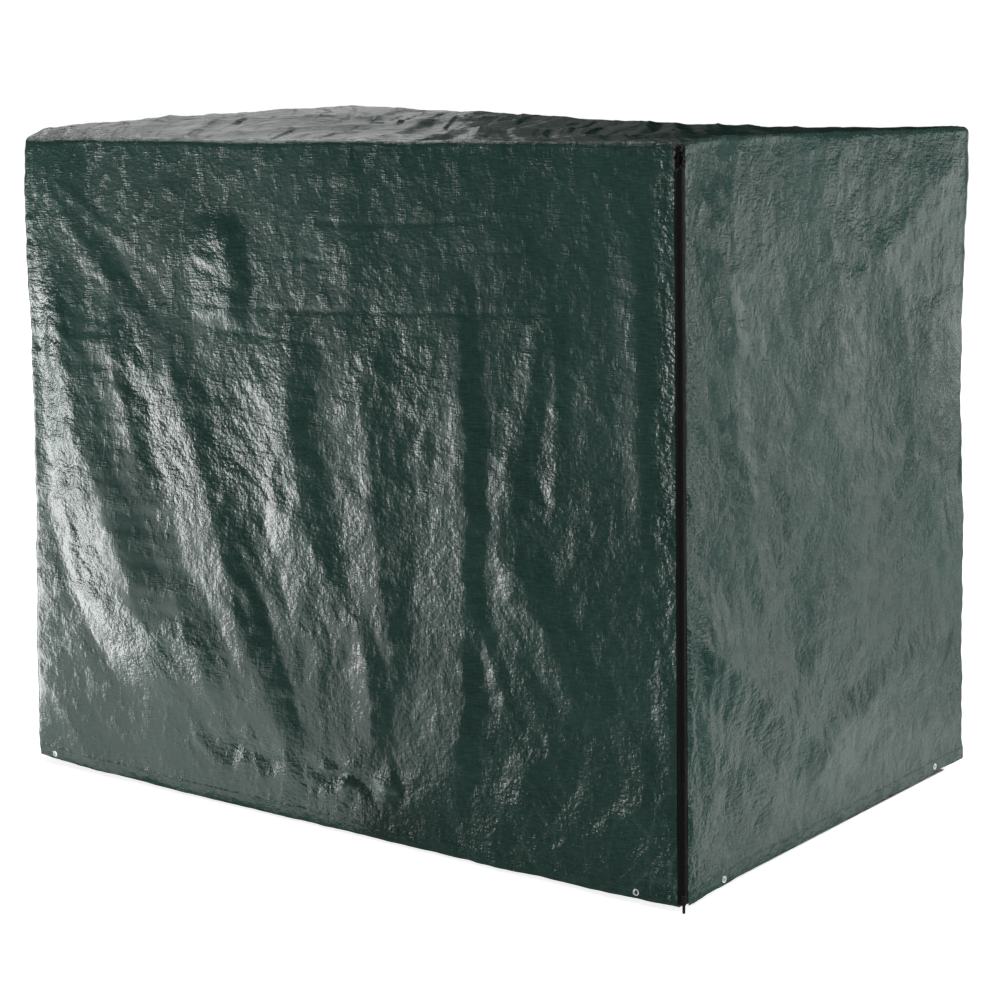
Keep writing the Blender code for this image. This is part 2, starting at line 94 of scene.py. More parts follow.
# Main folds, and the thin lines between them. A fold runs down or across its wall from start to end,
# through three places, with its own width to either side. Spread widens its low side near the end.
Fold = namedtuple(
    "Fold", "wall runs start end at_start at_middle at_end low_width high_width height spread",
    defaults=(0.0,),
)
FOLDS = [
    Fold("front", "down", 1.36, 0.16, -0.890, -0.740, -0.420, 0.100, 0.200, 0.0270, 1.35),
    Fold("front", "down", 0.56, 0.22, -0.500, -0.430, -0.350, 0.110, 0.110, 0.0085),
    Fold("front", "down", 0.92, 0.48, -0.860, -0.830, -0.800, 0.030, 0.030, -0.0035),
    Fold("front", "down", 1.30, 0.58, -0.890, -0.840, -0.760, 0.060, 0.040, 0.0045),
    Fold("front", "down", 1.30, 0.16, -0.985, -0.945, -0.640, 0.050, 0.080, -0.0040),
    Fold("front", "down", 1.40, 0.66, -0.720, -0.655, -0.540, 0.070, 0.070, 0.0055),
    Fold("front", "down", 1.30, 0.02, -0.540, -0.330, -0.070, 0.220, 0.080, 0.0135),
    Fold("front", "down", 1.24, 0.50, -0.080, -0.075, 0.030, 0.140, 0.070, 0.0115),
    Fold("front", "down", 1.26, 0.30, 0.125, 0.160, 0.215, 0.100, 0.090, 0.0105),
    Fold("front", "down", 0.60, 0.20, 0.090, 0.125, 0.160, 0.060, 0.050, 0.008),
    Fold("front", "down", 1.36, 0.02, 0.400, 0.430, 0.370, 0.140, 0.045, 0.0145),
    Fold("front", "down", 1.34, 0.76, 0.670, 0.600, 0.540, 0.045, 0.040, 0.0055),
    Fold("front", "down", 1.30, 0.78, 0.672, 0.668, 0.660, 0.030, 0.030, 0.004),
    Fold("front", "down", 1.00, 0.56, 0.545, 0.520, 0.560, 0.060, 0.060, 0.0060),
    Fold("front", "down", 0.62, 0.32, 0.440, 0.500, 0.560, 0.035, 0.030, 0.006),
    Fold("front", "down", 0.78, 0.34, 0.545, 0.640, 0.770, 0.070, 0.080, 0.0095),
    Fold("front", "down", 0.38, 0.07, 0.850, 0.900, 0.760, 0.070, 0.040, 0.009),
    Fold("front", "down", 0.30, 0.05, 0.640, 0.560, 0.600, 0.060, 0.050, 0.007),
    Fold("front", "down", 1.46, 1.16, -0.300, -0.280, -0.280, 0.120, 0.050, 0.012),
    Fold("front", "down", 1.60, 1.08, -0.940, -0.760, -0.420, 0.070, 0.060, 0.0026),
    Fold("front", "down", 1.61, 1.30, -0.950, -0.780, -0.500, 0.045, 0.040, 0.0016),
    Fold("front", "down", 1.56, 0.70, 0.860, 0.885, 0.900, 0.050, 0.050, 0.005),
    Fold("front", "across", -0.60, 0.80, 1.232, 1.236, 1.272, 0.009, 0.007, -0.0015),
    Fold("front", "across", -0.42, 0.10, 1.180, 1.165, 1.150, 0.008, 0.006, -0.0011),
    Fold("front", "across", -0.12, 0.58, 1.448, 1.438, 1.470, 0.008, 0.006, -0.0014),
    Fold("front", "across", 0.26, 0.66, 1.382, 1.384, 1.392, 0.007, 0.005, -0.0012),
    Fold("front", "across", -0.30, 0.20, 1.345, 1.352, 1.346, 0.007, 0.005, -0.0009),
    Fold("front", "across", 0.60, 0.96, 0.752, 0.745, 0.730, 0.007, 0.005, -0.0012),
    Fold("front", "across", 0.70, 0.97, 0.424, 0.428, 0.434, 0.007, 0.005, -0.0012),
    Fold("right", "across", -0.85, 0.14, 0.830, 0.400, 0.090, 0.110, 0.140, 0.0200),
    Fold("right", "across", -0.85, -0.10, 0.600, 0.290, 0.050, 0.080, 0.080, 0.0110),
    Fold("right", "across", -0.24, 0.70, 0.100, 0.300, 0.340, 0.110, 0.060, 0.009),
    Fold("right", "across", 0.06, 0.66, 1.240, 1.420, 1.620, 0.110, 0.120, 0.0055),
    Fold("right", "down", 1.16, 0.52, -0.480, -0.380, -0.280, 0.060, 0.060, 0.006),
    Fold("right", "down", 1.56, 1.10, -0.560, -0.480, -0.390, 0.060, 0.050, 0.006),
    Fold("right", "down", 1.36, 0.66, 0.280, 0.350, 0.400, 0.040, 0.050, 0.005),
    Fold("right", "down", 1.30, 0.40, 0.420, 0.470, 0.540, 0.080, 0.060, 0.008),
    Fold("right", "down", 0.95, 0.36, 0.490, 0.545, 0.635, 0.014, 0.022, 0.0040),
    Fold("back", "down", 1.44, 0.10, -0.620, -0.560, -0.420, 0.130, 0.090, 0.013),
    Fold("back", "down", 1.30, 0.20, -0.060, 0.020, 0.060, 0.120, 0.100, 0.014),
    Fold("back", "down", 1.50, 0.30, 0.560, 0.500, 0.400, 0.110, 0.110, 0.012),
    Fold("left", "down", 1.40, 0.16, -0.260, -0.180, -0.120, 0.100, 0.090, 0.012),
    Fold("left", "down", 1.34, 0.30, 0.300, 0.240, 0.180, 0.110, 0.080, 0.010),
]

# Folds of the top, from its front edge to its back edge
Crease = namedtuple("Crease", "x_front x_middle x_back width height")
CREASES = [
    Crease(-0.780, -0.620, -0.420, 0.070, 0.007),
    Crease(-0.430, -0.330, -0.250, 0.060, 0.008),
    Crease(-0.060, 0.060, 0.120, 0.080, 0.007),
    Crease(0.360, 0.330, 0.420, 0.080, 0.009),
    Crease(0.700, 0.640, 0.610, 0.080, 0.008),
]

# Where the standing corners bulge out or draw in
Lean = namedtuple("Lean", "x_side y_side height reach shift")
LEANS = [
    Lean(-1, -1, 1.400, 0.230, 0.011),
    Lean(-1, -1, 0.100, 0.550, 0.010),
    Lean(1, 1, 1.620, 0.250, 0.016),
    Lean(1, 1, 1.000, 0.900, 0.006),
    Lean(1, 1, 0.950, 0.210, -0.006),
    Lean(-1, 1, 0.800, 0.300, -0.006),
]
LEAN_SPREAD = 0.260

Eyelet = namedtuple("Eyelet", "name wall place")
EYELETS = [
    Eyelet("eyelet_front_left", "front", -0.925),
    Eyelet("eyelet_front_right", "front", 0.870),
    Eyelet("eyelet_right_front", "right", -0.480),
    Eyelet("eyelet_right_back", "right", 0.480),
    Eyelet("eyelet_back_left", "back", -0.900),
    Eyelet("eyelet_back_right", "back", 0.900),
    Eyelet("eyelet_left_back", "left", -0.480),
    Eyelet("eyelet_left_front", "left", 0.480),
]

# Where the cloth is crinkled: wall, middle of the patch, its reach each way, its slant, strength
Zone = namedtuple("Zone", "wall place height across down slant strength")
ZONES = [
    Zone("front", -0.88, 0.98, 0.09, 0.26, -0.10, 1.0),
    Zone("front", -0.78, 0.60, 0.11, 0.20, -0.35, 1.0),
    Zone("front", -0.61, 0.37, 0.12, 0.09, -0.60, 1.2),
    Zone("front", -0.56, 0.96, 0.08, 0.24, -0.30, 0.9),
    Zone("front", -0.34, 0.80, 0.15, 0.28, -0.35, 0.7),
    Zone("front", -0.20, 1.00, 0.20, 0.22, 0.00, 0.5),
    Zone("front", -0.30, 1.32, 0.17, 0.10, 0.10, 0.8),
    Zone("front", 0.00, 0.62, 0.26, 0.30, -0.25, 0.6),
    Zone("front", 0.20, 0.95, 0.14, 0.34, 0.00, 0.6),
    Zone("front", 0.36, 0.62, 0.10, 0.40, 0.00, 0.1),
    Zone("front", 0.52, 0.52, 0.12, 0.20, -0.30, 0.8),
    Zone("front", 0.62, 1.02, 0.12, 0.24, 0.20, 0.5),
    Zone("front", -0.27, 0.14, 0.17, 0.05, 0.00, 1.3),
    Zone("front", 0.07, 0.12, 0.16, 0.05, 0.00, 1.1),
    Zone("front", 0.45, 0.10, 0.48, 0.10, 0.00, 1.0),
    Zone("front", 0.66, 0.32, 0.26, 0.20, 0.00, 0.6),
    Zone("front", 0.70, 0.66, 0.22, 0.24, 0.00, 0.4),
    Zone("front", -0.45, 0.36, 0.10, 0.08, 0.00, 1.1),
    Zone("front", 0.88, 0.10, 0.16, 0.12, 0.00, 1.1),
    Zone("front", 0.955, 1.12, 0.035, 0.36, 0.00, 1.6),
    Zone("front", 0.940, 0.45, 0.030, 0.40, 0.00, 0.9),
    Zone("front", -0.62, 0.58, 0.09, 0.17, -0.45, -1.3),
    Zone("front", -0.72, 0.13, 0.26, 0.11, 0.00, -0.9),
    Zone("right", -0.44, 0.18, 0.24, 0.16, 0.00, 0.9),
    Zone("right", 0.44, 0.22, 0.22, 0.12, 0.00, 0.8),
    Zone("right", -0.60, 0.95, 0.04, 0.50, 0.00, 1.1),
    Zone("right", 0.46, 0.90, 0.14, 0.36, 0.00, 0.9),
    Zone("right", -0.05, 0.85, 0.50, 0.70, 0.00, 0.7),
    Zone("back", 0.20, 0.80, 0.50, 0.50, 0.00, 0.7),
    Zone("back", -0.50, 0.40, 0.30, 0.30, 0.00, 0.8),
    Zone("left", 0.00, 0.70, 0.35, 0.45, 0.00, 0.7),
]
CALM = 0.25

# Small creased blocks low on the front: place, height, and reach each way
BLOCKS = [(-0.27, 0.140, 0.150, 0.036), (0.07, 0.120, 0.140, 0.030)]

# Creased facets of the walls: how far they stand out, and their size across and down
Facets = namedtuple("Facets", "relief across down")
BROAD = Facets(0.0105, 0.140, 0.300)
MIDDLE = Facets(0.0064, 0.066, 0.086)
SMALL = Facets(0.0031, 0.031, 0.032)
END_WIDENING = 1.3
CRINKLE_LIMIT = 2.0
BLOCK_RELIEF = 0.018

STITCH_HEIGHT = 0.0295
STITCH_PROUD = 0.0007
HEM_HOLE = 0.0060
HEM_ROWS = 13
TOOTH_PITCH = 0.0026
TOOTH_SIZE = (0.0054, 0.0026, 0.0019)
TOOTH_STAGGER = 0.0019
BUNCH_FOOT = 1.520
RING_SEGMENTS = 32

GRID_STEP = 0.0062
ZIP_STEP = 0.0032
ZIP_FINE = 0.060

GREEN = (0.0155, 0.0485, 0.0385)
WORN_GREEN = (0.16, 0.24, 0.21)
THREAD_GREEN = (0.020, 0.060, 0.048)
TAPE_DARK = (0.004, 0.004, 0.005)
TAPE_LIGHT = (0.009, 0.009, 0.010)
PLASTIC_BLACK = (0.006, 0.006, 0.0065)
LACQUER_BLACK = (0.030, 0.030, 0.033)
ALUMINIUM = (0.92, 0.93, 0.94)
WHITE = (1, 1, 1)

FLOOR_HEIGHT = -0.002
FLOOR_REACH = 18
FLOOR_GLOW = 0.85
WORLD_GREY = (0.35, 0.35, 0.35, 1)
WORLD_GLOW = 0.30


def smooth(value):
    t = np.clip(value, 0.0, 1.0)
    return t * t * (3 - 2 * t)


def bell(offset, width):
    return np.exp(-(offset / width) ** 2)


def through_three(t, first, middle, last):
    return first * (1 - t) * (1 - 2 * t) + middle * 4 * t * (1 - t) + last * t * (2 * t - 1)


def crest(offset, width, softness=0.10):
    """A fold's section: a tight crest between two even flanks, each as wide as given."""
    fall = 1 - np.sqrt((offset / width) ** 2 + softness ** 2) + softness
    return 0.5 * (fall + np.sqrt(fall * fall + 0.004))


def wobble(t, seed):
    """A smooth uneven line, about -1 to 1, from a few sine waves."""
    rng = np.random.default_rng(seed)
    total = np.zeros_like(np.asarray(t, dtype=float))
    for length, share in ((0.61, 0.30), (0.23, 0.30), (0.094, 0.24), (0.041, 0.16)):
        total += share * np.sin(2 * math.pi * t / (length * rng.uniform(0.8, 1.25)) + rng.uniform(0, 6.3))
    return total


def hashed(i, j, seed, channel):
    """An even random number in 0 to 1 for each whole-numbered cell."""
    mixed = (i * 374761393 + j * 668265263 + seed * 974634777 + channel * 362437) & 0xFFFFFFFF
    mixed = ((mixed ^ (mixed >> 13)) * 1274126177) & 0xFFFFFFFF
    mixed = ((mixed ^ (mixed >> 16)) * 2246822519) & 0xFFFFFFFF
    return (mixed ^ (mixed >> 15)) / 4294967296.0


def cells(x, y, seed):
    """The nine cells around each point: offsets from their seeds, and their random tilts."""
    i0 = np.floor(x).astype(np.int64)
    j0 = np.floor(y).astype(np.int64)
    for di in (-1, 0, 1):
        for dj in (-1, 0, 1):
            i, j = i0 + di, j0 + dj
            dx = x - i - 0.1 - 0.8 * hashed(i, j, seed, 1)
            dy = y - j - 0.1 - 0.8 * hashed(i, j, seed, 2)
            yield dx, dy, hashed(i, j, seed, 3) * 2 - 1, hashed(i, j, seed, 4) * 2 - 1


def facets(x, y, across, down, tilt, seed, hardness=14.0):
    """Cloth broken into flat tilted patches of a given size, with soft or hard edges."""
    total = np.zeros_like(x)
    weights = np.zeros_like(x)
    for dx, dy, gx, gy in cells(x / across, y / down, seed):
        weight = np.exp(-hardness * (dx * dx + dy * dy))
        total += weight * tilt * (gx * dx * across + gy * dy * min(across, down))
        weights += weight
    return total / weights


def crackle(x, y, across, down, seed, width=0.10):
    """Thin sharp creases along the borders of uneven cells: 1 on a crease, 0 away from it."""
    nearest = np.full_like(x, 9.0)
    second = np.full_like(x, 9.0)
    for dx, dy, _, _ in cells(x / across, y / down, seed):
        distance = np.sqrt(dx * dx + dy * dy)
        second = np.minimum(second, np.maximum(nearest, distance))
        nearest = np.minimum(nearest, distance)
    return np.exp(-(second - nearest) / width)


def value_noise(x, y, seed):
    """Soft uneven ground, 0 to 1."""
    i = np.floor(x).astype(np.int64)
    j = np.floor(y).astype(np.int64)
    u, v = smooth(x - i), smooth(y - j)
    low = hashed(i, j, seed, 5) * (1 - u) + hashed(i + 1, j, seed, 5) * u
    high = hashed(i, j + 1, seed, 5) * (1 - u) + hashed(i + 1, j + 1, seed, 5) * u
    return low * (1 - v) + high * v


def creased(x, y, across, down, seed):
    """Cloth creased into flat three-sided facets that meet in sharp lines, about -0.5 to 0.5."""
    x, y = x / across, y / down
    bent_x = x + 0.7 * value_noise(x / 1.9, y / 1.9, seed + 40)
    bent_y = y + 0.7 * value_noise(x / 1.7, y / 2.1, seed + 41)
    i = np.floor(bent_x).astype(np.int64)
    j = np.floor(bent_y).astype(np.int64)
    u, v = bent_x - i, bent_y - j
    corner = {(a, b): hashed(i + a, j + b, seed, 6) for a in (0, 1) for b in (0, 1)}
    turned_over = hashed(i, j, seed, 7) > 0.5
    u = np.where(turned_over, 1 - u, u)
    near = np.where(turned_over, corner[1, 0], corner[0, 0])
    side = np.where(turned_over, corner[0, 0], corner[1, 0])
    over = np.where(turned_over, corner[1, 1], corner[0, 1])
    far = np.where(turned_over, corner[0, 1], corner[1, 1])
    low = near + u * (side - near) + v * (over - near)
    high = far + (1 - u) * (over - far) + (1 - v) * (side - far)
    return np.where(u + v < 1, low, high) - 0.5


def fold_height(fold, place, height):
    along, side = (height, place) if fold.runs == "down" else (place, height)
    t = (along - fold.start) / (fold.end - fold.start)
    seed = int(1000 * abs(fold.at_start) + 100 * abs(fold.start))
    uneven = min(0.016, 0.12 * (fold.low_width + fold.high_width)) * wobble(along, seed)
    offset = side - through_three(t, fold.at_start, fold.at_middle, fold.at_end) + uneven
    low_width = fold.low_width * (1 + fold.spread * bell(t - 0.70, 0.35))
    width = np.where(offset < 0, low_width, fold.high_width)
    inside = np.where((t > 0) & (t < 1), smooth(np.minimum(t, 1 - t) / 0.25), 0.0)
    return fold.height * inside * crest(offset, width)


def crinkle_strength(wall_name, place, height):
    strength = np.full_like(place, CALM)
    for zone in ZONES:
        if zone.wall == wall_name:
            down = (height - zone.height) / zone.down
            across = (place - zone.place - zone.slant * (height - zone.height)) / zone.across
            strength += zone.strength * np.exp(-(across * across + down * down) ** 1.5)
    uneven = value_noise(place / 0.16, height / 0.22, 31)
    return np.clip(strength * (0.45 + 1.1 * uneven), 0.0, CRINKLE_LIMIT)


def wall_relief(wall_name, place, height):
    """How far the cloth stands out of the plain form, how crinkled it is, and where it is creased."""
    wall = WALLS[wall_name]
    to_side = wall.half - np.abs(place)
    to_top = WALL_HEIGHT - height
    fade = smooth((to_side - 0.020) / 0.080) * smooth((to_top - 0.018) / 0.120)
    fade *= smooth((height - HEM_HEIGHT - 0.010) / 0.120)
    folds = sum(fold_height(f, place, height) for f in FOLDS if f.wall == wall_name)
    seed = 100 * list(WALLS).index(wall_name)
    strength = crinkle_strength(wall_name, place, height)
    slant = -0.38 * smooth((0.1 - place) / 0.6) if wall_name == "front" else 0.0
    across = place - slant * (height - 0.8) + 0.012 * np.sin(height * 23 + seed)
    down = height + 0.010 * np.sin(place * 31 + seed)
    wide = END_WIDENING if wall_name in ("right", "left") else 1.0
    broad = BROAD.relief * wide * creased(across, down, BROAD.across * wide, BROAD.down, seed + 1)
    middle = MIDDLE.relief * wide * creased(across, down, MIDDLE.across * wide, MIDDLE.down, seed + 2)
    leaning = across + 0.25 * down
    small = SMALL.relief * wide * creased(leaning, down, SMALL.across * wide, SMALL.down, seed + 3)
    creases = crackle(across, down, 0.075, 0.190, seed + 4, 0.07)
    if wall_name == "front":
        for block_place, block_height, reach_across, reach_down in BLOCKS:
            share = bell(place - block_place, reach_across) * bell(height - block_height, reach_down)
            blocks = creased(place, height, 0.050, 0.038, seed + 7)
            small = small + BLOCK_RELIEF * share * blocks
            creases = creases + 2.0 * share * smooth(blocks * 5 + 0.5)
    detail = broad * (0.6 + 0.4 * strength) + strength * (middle + small) + 0.0005 * strength * creases
    near = smooth((to_side - 0.001) / 0.022) * smooth((to_top - 0.001) / 0.022)
    for eyelet in EYELETS:
        if eyelet.wall == wall_name:
            away = np.hypot(place - eyelet.place, height - EYELET_HEIGHT)
            near = near * smooth((away - 0.009) / 0.030)
    to_zip = np.full_like(place, 1.0)
    if wall_name == "front":
        to_zip = wall.half - place
    if wall_name == "right":
        to_zip = wall.half + place
    fade = fade * smooth((to_zip - 0.016) / 0.080)
    zip_share = 0.55 + 0.8 * bell(height - (0.86 if wall_name == "right" else 1.12), 0.36)
    beside_zip = smooth((0.075 - to_zip) / 0.045) * zip_share
    above_hem = smooth((0.085 - height) / 0.050) * smooth(height / 0.020)
    patches = value_noise(place / 0.09, height / 0.11, seed + 6)
    pucker = smooth((patches - 0.25) / 0.35) * (0.26 * beside_zip + 0.13 * above_hem)
    detail = detail + pucker * facets(place, height, 0.014, 0.024, 1.0, seed + 5, 26.0)
    near = near * smooth((to_zip - 0.013) / 0.016)
    return fade * folds + near * detail, strength + 0.8 * beside_zip + 0.3 * above_hem, creases


def shares(x, y):
    return np.clip(x / TOP_LENGTH + 0.5, 0, 1), np.clip(y / TOP_WIDTH + 0.5, 0, 1)


def edge_rise(x, y):
    u, v = shares(x, y)
    rise = BACK_LEFT_RISE * (1 - u) * (1 - 0.6 * u) * v * (1.6 - 0.6 * v)
    rise = rise - BACK_EDGE_DIP * bell(u - 0.68, 0.25) * v * v
    rise = rise + LEFT_EDGE_PUFF * smooth(1 - u / 0.35) * smooth(v / 0.06) * (1 - v) ** 2
    return rise + RIGHT_EDGE_PUFF * smooth(u / 0.25 - 3) * smooth(v / 0.15) * (1 - v)


def top_swell(x, y):
    u, v = shares(x, y)
    window = np.maximum(16 * u * (1 - u) * v * (1 - v), 0) ** 0.75
    creases = sum(
        c.height * crest(x - through_three(v, c.x_front, c.x_middle, c.x_back), c.width)
        for c in CREASES
    )
    return window * (TOP_CROWN * (1 - u) - TOP_SAG * u + creases)


def hem_rise(x, y):
    u, v = shares(x, y)
    rise = -FRONT_HEM_DROP * (1 - (2 * u - 1) ** 4)
    rise = rise + FRONT_LEFT_HEM_RISE * (1 - u) ** 8 * (1 - v) ** 4
    return rise + BACK_RIGHT_HEM_RISE * smooth(2 * u - 1) * v ** 0.7


def corner_lean(x, y, height):
    shift = np.zeros(x.shape + (3,))
    for lean in LEANS:
        away = np.abs(x - lean.x_side * HALF_LENGTH) + np.abs(y - lean.y_side * HALF_WIDTH)
        amount = lean.shift * bell(away, LEAN_SPREAD) * bell(height - lean.height, lean.reach)
        shift += amount[..., None] * np.array((lean.x_side, lean.y_side, 0)) * math.sqrt(0.5)
    return shift


def edge_wobble(x, y, height):
    """Small unevenness of the standing corners, the top seams and the hem line."""
    shift = np.zeros(x.shape + (3,))
    for seed, (sx, sy) in enumerate(((-1, -1), (1, 1), (-1, 1), (1, -1))):
        away = np.abs(x - sx * HALF_LENGTH) + np.abs(y - sy * HALF_WIDTH)
        size = 0.0006 if (sx, sy) == (1, -1) else 0.0024
        amount = size * bell(away, 0.050) * wobble(height, 50 + seed)
        shift += amount[..., None] * np.array((sx, sy, 0))
    to_edge = np.minimum(HALF_LENGTH - np.abs(x), HALF_WIDTH - np.abs(y))
    rim = bell(to_edge, 0.030) * smooth((height - WALL_HEIGHT + 0.10) / 0.08)
    hem = smooth(1 - height / 0.10)
    shift[..., 2] += 0.0018 * rim * wobble(x + 1.7 * y, 60) + 0.0012 * hem * wobble(x - 1.3 * y, 61)
    return shift


def cover_points(sharp, depth):
    """Places on the sharp box, rounded, flared, raised and leaned as the solids are."""
    radius = EDGE_RADIUS
    core = np.stack((
        np.clip(sharp[..., 0], radius - HALF_LENGTH, HALF_LENGTH - radius),
        np.clip(sharp[..., 1], radius - HALF_WIDTH, HALF_WIDTH - radius),
        np.minimum(sharp[..., 2], WALL_HEIGHT - radius),
    ), axis=-1)
    away = sharp - core
    away = away / np.linalg.norm(away, axis=-1, keepdims=True)
    point = core + away * (radius - depth)
    x, y, z = point[..., 0], point[..., 1], point[..., 2]
    rise = np.clip(z / WALL_HEIGHT, 0, 1)
    moved = np.stack((
        x * (1 + HEM_FLARE / HALF_LENGTH * (1 - rise)),
        y * (1 + HEM_FLARE / HALF_WIDTH * (1 - rise)),
        z + HEM_LIFT + edge_rise(x, y) * rise + hem_rise(x, y) * (1 - rise) ** 2,
    ), axis=-1)
    return moved + corner_lean(x, y, z) + edge_wobble(x, y, z)


def wall_points(wall_name, place, height, depth=0.0, relief=True):
    wall = WALLS[wall_name]
    up = np.array((0, 0, 1))
    sharp = place[..., None] * wall.along + wall.distance * wall.out + height[..., None] * up
    points = cover_points(sharp, depth)
    if not relief:
        return points
    out, strength, creases = wall_relief(wall_name, place, height)
    return points + out[..., None] * wall.out, strength, creases


def spaced(first, last, spacing):
    return np.linspace(first, last, max(2, int(round((last - first) / spacing)) + 1))


def edge_spaced(first, last, spacing, first_edge, last_edge):
    """Even stations, with extra ones over the rounded edges."""
    rounding = EDGE_RADIUS
    inner_first = first + (rounding if first_edge else 0)
    inner_last = last - (rounding if last_edge else 0)
    parts = [spaced(inner_first, inner_last, spacing)]
    if first_edge:
        parts.insert(0, np.linspace(first, first + rounding, 6)[:-1])
    if last_edge:
        parts.append(np.linspace(last - rounding, last, 6)[1:])
    return np.concatenate(parts)


def grid_mesh(name, points, uv, values, keep=None):
    """A sheet from a grid of points, with cloth coordinates and named values at its points."""
    columns, rows = points.shape[:2]
    index = np.arange(columns * rows).reshape(columns, rows)
    corners = (index[:-1, :-1], index[1:, :-1], index[1:, 1:], index[:-1, 1:])
    quads = np.stack(corners, axis=-1).reshape(-1, 4)
    if keep is not None:
        quads = quads[keep.reshape(-1)]
    mesh = bpy.data.meshes.new(name)
    mesh.from_pydata(points.reshape(-1, 3).tolist(), [], quads.tolist())
    layer = mesh.uv_layers.new(name="cloth")
    flat_uv = uv.reshape(-1, 2)[quads.reshape(-1)]
    layer.data.foreach_set("uv", flat_uv.astype(np.float32).reshape(-1))
    for label, array in values.items():
        held = mesh.attributes.new(label, "FLOAT", "POINT")
        held.data.foreach_set("value", array.astype(np.float32).reshape(-1))
    mesh.shade_smooth()
    made = bpy.data.objects.new(name, mesh)
    bpy.context.scene.collection.objects.link(made)
    if keep is not None:
        tidy = bmesh.new()
        tidy.from_mesh(mesh)
        loose = [vertex for vertex in tidy.verts if not vertex.link_faces]
        bmesh.ops.delete(tidy, geom=loose, context="VERTS")
        tidy.to_mesh(mesh)
        tidy.free()
    return made


def dress(made, look, nodes=()):
    made.data.materials.clear()
    made.data.materials.append(look)
    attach(made, "root")
    if nodes:
        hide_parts(*nodes)
    return made


def node_input(node, name, value):
    node.inputs[name].default_value = value


class Nodes:
    """A short way to write a material's node tree."""

    def __init__(self, name):
        self.material = bpy.data.materials.new(name)
        self.material.use_nodes = True
        self.tree = self.material.node_tree
        self.shader = self.tree.nodes["Principled BSDF"]

    def add(self, kind, sockets=None, **settings):
        node = self.tree.nodes.new(kind)
        for key, value in settings.items():
            setattr(node, key, value)
        for key, value in (sockets or {}).items():
            if isinstance(value, bpy.types.NodeSocket):
                self.tree.links.new(value, node.inputs[key])
            else:
                node.inputs[key].default_value = value
        return node

    def math(self, operation, first, second=0.0):
        return self.add("ShaderNodeMath", {0: first, 1: second}, operation=operation).outputs[0]

    def mix(self, share, first, second):
        node = self.add("ShaderNodeMix", {0: share}, data_type="RGBA")
        for socket, value in ((node.inputs[6], first), (node.inputs[7], second)):
            if isinstance(value, bpy.types.NodeSocket):
                self.tree.links.new(value, socket)
            else:
                socket.default_value = (*value, 1)
        return node.outputs[2]

    def ramp(self, value, low, high):
        node = self.add("ShaderNodeMapRange", {"Value": value, "From Min": low, "From Max": high})
        return node.outputs[0]

    def link(self, output, name):
        self.tree.links.new(output, self.shader.inputs[name])


def shades(color, low, high):
    """A darker and a lighter shade of one colour."""
    return tuple(low * c for c in color), tuple(min(1, high * c) for c in color)


def cloth_coordinates(nodes, scale):
    uv = nodes.add("ShaderNodeUVMap", uv_map="cloth").outputs["UV"]
    return nodes.add("ShaderNodeMapping", {"Vector": uv, "Scale": scale}).outputs["Vector"]


def cloth_noise(nodes, scale):
    """Soft flat noise, finer across or along the cloth by its scale each way."""
    sockets = {"Vector": cloth_coordinates(nodes, scale), "Scale": 1.0, "Detail": 2.0}
    return nodes.add("ShaderNodeTexNoise", sockets, noise_dimensions="2D").outputs["Fac"]


def between(nodes, value, low, high, to_low, to_high):
    """A value's range carried over to another range."""
    sockets = {"Value": value, "From Min": low, "From Max": high, "To Min": to_low, "To Max": to_high}
    return nodes.add("ShaderNodeMapRange", sockets).outputs[0]


def sheet_look(name, tint):
    """Coated woven plastic sheet: dark green, glossy, with tape weave and fine crinkles."""
    nodes = Nodes(name)
    crinkle = nodes.add("ShaderNodeAttribute", attribute_name="crinkle").outputs["Fac"]
    crease = nodes.add("ShaderNodeAttribute", attribute_name="crease").outputs["Fac"]
    flat = cloth_coordinates(nodes, (1, 1, 1))
    clouds = nodes.add(
        "ShaderNodeTexNoise", {"Vector": flat, "Scale": 3.0, "Detail": 4.0}, noise_dimensions="2D"
    ).outputs["Fac"]
    base = nodes.mix(nodes.ramp(clouds, 0.35, 0.68), *shades(tint, 0.78, 1.15))
    pale = nodes.math("MULTIPLY", crease, 0.08)
    warp_threads = cloth_noise(nodes, (300, 42, 1))
    weft_threads = cloth_noise(nodes, (34, 280, 1))
    patches = cloth_noise(nodes, (26, 20, 1))
    loose = between(nodes, patches, 0.46, 0.68, 0.30, 1.6)
    slack = between(nodes, crinkle, 0.0, 1.0, 0.60, 0.85)
    threads = nodes.math("ADD", nodes.math("MULTIPLY", warp_threads, 0.6), weft_threads)
    thread_shade = nodes.mix(nodes.ramp(threads, 0.60, 1.05), *shades(tint, 0.6, 1.5))
    cloth_color = nodes.mix(0.5, base, thread_shade)
    nodes.link(nodes.mix(pale, cloth_color, WORN_GREEN), "Base Color")
    weave = nodes.math("MULTIPLY", threads, nodes.math("MULTIPLY", loose, slack))
    fine = nodes.add(
        "ShaderNodeTexVoronoi", {"Vector": cloth_coordinates(nodes, (72, 105, 1)), "Scale": 1.0},
        feature="SMOOTH_F1", voronoi_dimensions="2D",
    ).outputs["Distance"]
    finer = cloth_noise(nodes, (150, 150, 1))
    crumple = nodes.math("MULTIPLY", nodes.math("ADD", fine, finer), nodes.math("ADD", crinkle, 0.15))
    nodes.link(between(nodes, clouds, 0.3, 0.7, 0.17, 0.24), "Roughness")
    weave_bump = nodes.add("ShaderNodeBump", {"Height": weave, "Strength": 0.70, "Distance": 0.0017})
    crumple_bump = nodes.add(
        "ShaderNodeBump",
        {"Height": crumple, "Strength": 0.70, "Distance": 0.0014, "Normal": weave_bump.outputs["Normal"]},
    )
    nodes.link(crumple_bump.outputs["Normal"], "Normal")
    node_input(nodes.shader, "IOR", 1.50)
    return nodes.material


